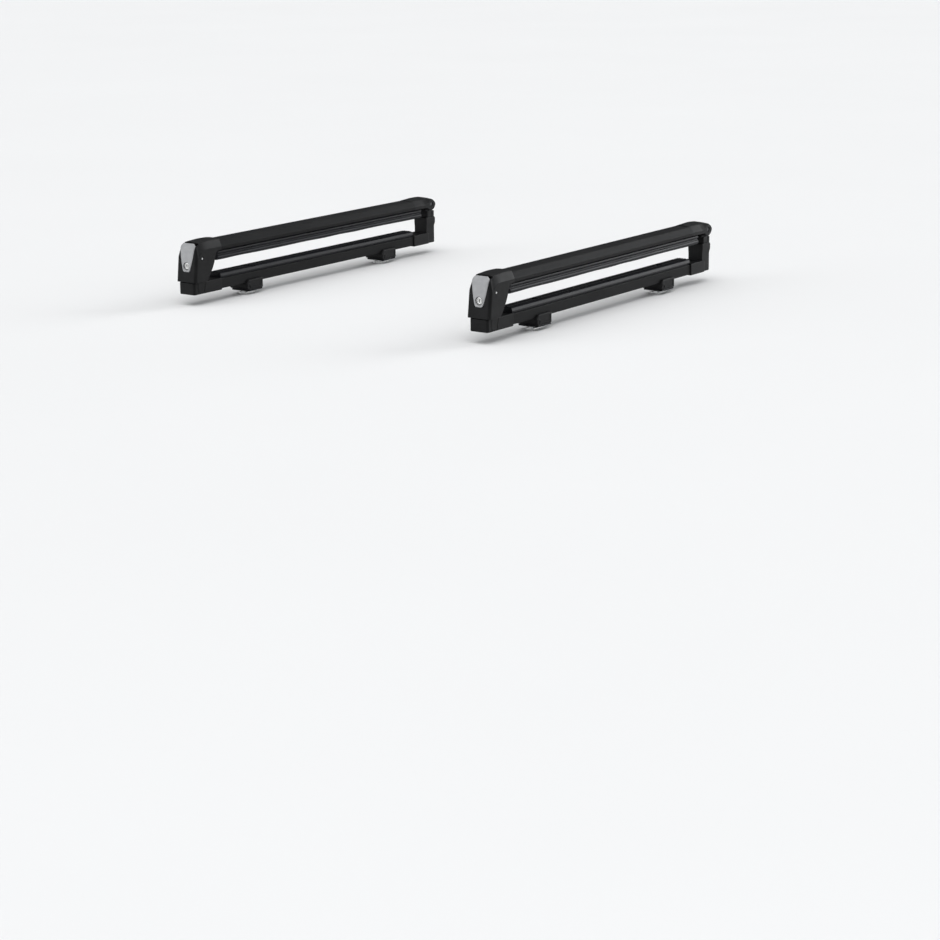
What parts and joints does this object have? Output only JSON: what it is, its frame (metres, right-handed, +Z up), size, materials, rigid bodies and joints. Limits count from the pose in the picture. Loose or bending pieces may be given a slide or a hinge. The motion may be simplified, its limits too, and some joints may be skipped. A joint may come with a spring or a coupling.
{
  "type": "roof ski rack",
  "caption": "Pair of clamping ski carriers for roof crossbars: hinged upper arm, soft rubber strips, spring lift at the hinge and a locking push-button latch.",
  "frame": {"origin": "midway between the two carriers and midway along them, level with the underside of the T-nuts", "axes": "+X towards the front of the car, +Y across the roof from the latch end of each carrier to its hinge end, +Z up"},
  "size_m": [0.75, 0.796, 0.126],
  "materials": {
    "profile": "satin black anodised extrusion",
    "casing": "black glass-filled nylon, fine moulded grain",
    "rubber": "soft black rubber with a slight sheen",
    "button": "satin silver-grey",
    "lock": "plated zinc",
    "steel": "zinc plated",
    "black_steel": "black coated"
  },
  "bodies": {
    "base": {"front_lower_profile": "profile", "front_lower_rubber": "rubber", "front_latch_post": "casing", "front_striker_bar": "steel", "front_hinge_tower": "casing", "front_lift_screw": "steel", "front_foot_near": "casing", "front_foot_pad_near": "rubber", "front_clamp_screw_near": "steel", "front_t_nut_near": "steel", "front_foot_far": "casing", "front_foot_pad_far": "rubber", "front_clamp_screw_far": "steel", "front_t_nut_far": "steel", "rear_lower_profile": "profile", "rear_lower_rubber": "rubber", "rear_latch_post": "casing", "rear_striker_bar": "steel", "rear_hinge_tower": "casing", "rear_lift_screw": "steel", "rear_foot_near": "casing", "rear_foot_pad_near": "rubber", "rear_clamp_screw_near": "steel", "rear_t_nut_near": "steel", "rear_foot_far": "casing", "rear_foot_pad_far": "rubber", "rear_clamp_screw_far": "steel", "rear_t_nut_far": "steel"},
    "front_lift": {"front_lift_link": "casing", "front_hinge_pin": "black_steel", "front_lift_spring": "steel"},
    "front_arm": {"front_upper_profile": "profile", "front_upper_rubber": "rubber", "front_hinge_cap": "casing", "front_latch_housing": "casing", "front_latch_pin": "steel"},
    "front_latch": {"front_latch_button": "button", "front_latch_hook": "black_steel", "front_latch_spring": "steel"},
    "front_lock": {"front_lock_cylinder": "lock", "front_lock_cam": "black_steel"},
    "rear_lift": {"rear_lift_link": "casing", "rear_hinge_pin": "black_steel", "rear_lift_spring": "steel"},
    "rear_arm": {"rear_upper_profile": "profile", "rear_upper_rubber": "rubber", "rear_hinge_cap": "casing", "rear_latch_housing": "casing", "rear_latch_pin": "steel"},
    "rear_latch": {"rear_latch_button": "button", "rear_latch_hook": "black_steel", "rear_latch_spring": "steel"},
    "rear_lock": {"rear_lock_cylinder": "lock", "rear_lock_cam": "black_steel"}
  },
  "joints": [
    {"name": "front_arm_lift", "type": "slide", "parent": "base", "child": "front_lift", "axis": [0, 0, 1], "range_m": [0, 0.02], "stiffness_N_per_m": 1500, "springref_m": -0.012, "deforming": ["front_lift_spring"]},
    {"name": "front_arm_hinge", "type": "hinge", "parent": "front_lift", "child": "front_arm", "pos_m": [0.35, 0.374, 0.1095], "axis": [-1, 0, 0], "range_deg": [0, 95]},
    {"name": "front_latch_press", "type": "hinge", "parent": "front_arm", "child": "front_latch", "pos_m": [0.35, -0.374, 0.0927], "axis": [-1, 0, 0], "range_deg": [0, 7], "stiffness_Nm_per_rad": 2, "springref_deg": -5.73, "deforming": ["front_latch_spring"]},
    {"name": "front_lock_turn", "type": "hinge", "parent": "front_latch", "child": "front_lock", "pos_m": [0.35, -0.396, 0.0785], "axis": [0, 1, 0], "range_deg": [0, 90]},
    {"name": "rear_arm_lift", "type": "slide", "parent": "base", "child": "rear_lift", "axis": [0, 0, 1], "range_m": [0, 0.02], "stiffness_N_per_m": 1500, "springref_m": -0.012, "deforming": ["rear_lift_spring"]},
    {"name": "rear_arm_hinge", "type": "hinge", "parent": "rear_lift", "child": "rear_arm", "pos_m": [-0.35, 0.374, 0.1095], "axis": [-1, 0, 0], "range_deg": [0, 95]},
    {"name": "rear_latch_press", "type": "hinge", "parent": "rear_arm", "child": "rear_latch", "pos_m": [-0.35, -0.374, 0.0927], "axis": [-1, 0, 0], "range_deg": [0, 7], "stiffness_Nm_per_rad": 2, "springref_deg": -5.73, "deforming": ["rear_latch_spring"]},
    {"name": "rear_lock_turn", "type": "hinge", "parent": "rear_latch", "child": "rear_lock", "pos_m": [-0.35, -0.396, 0.0785], "axis": [0, 1, 0], "range_deg": [0, 90]}
  ]
}
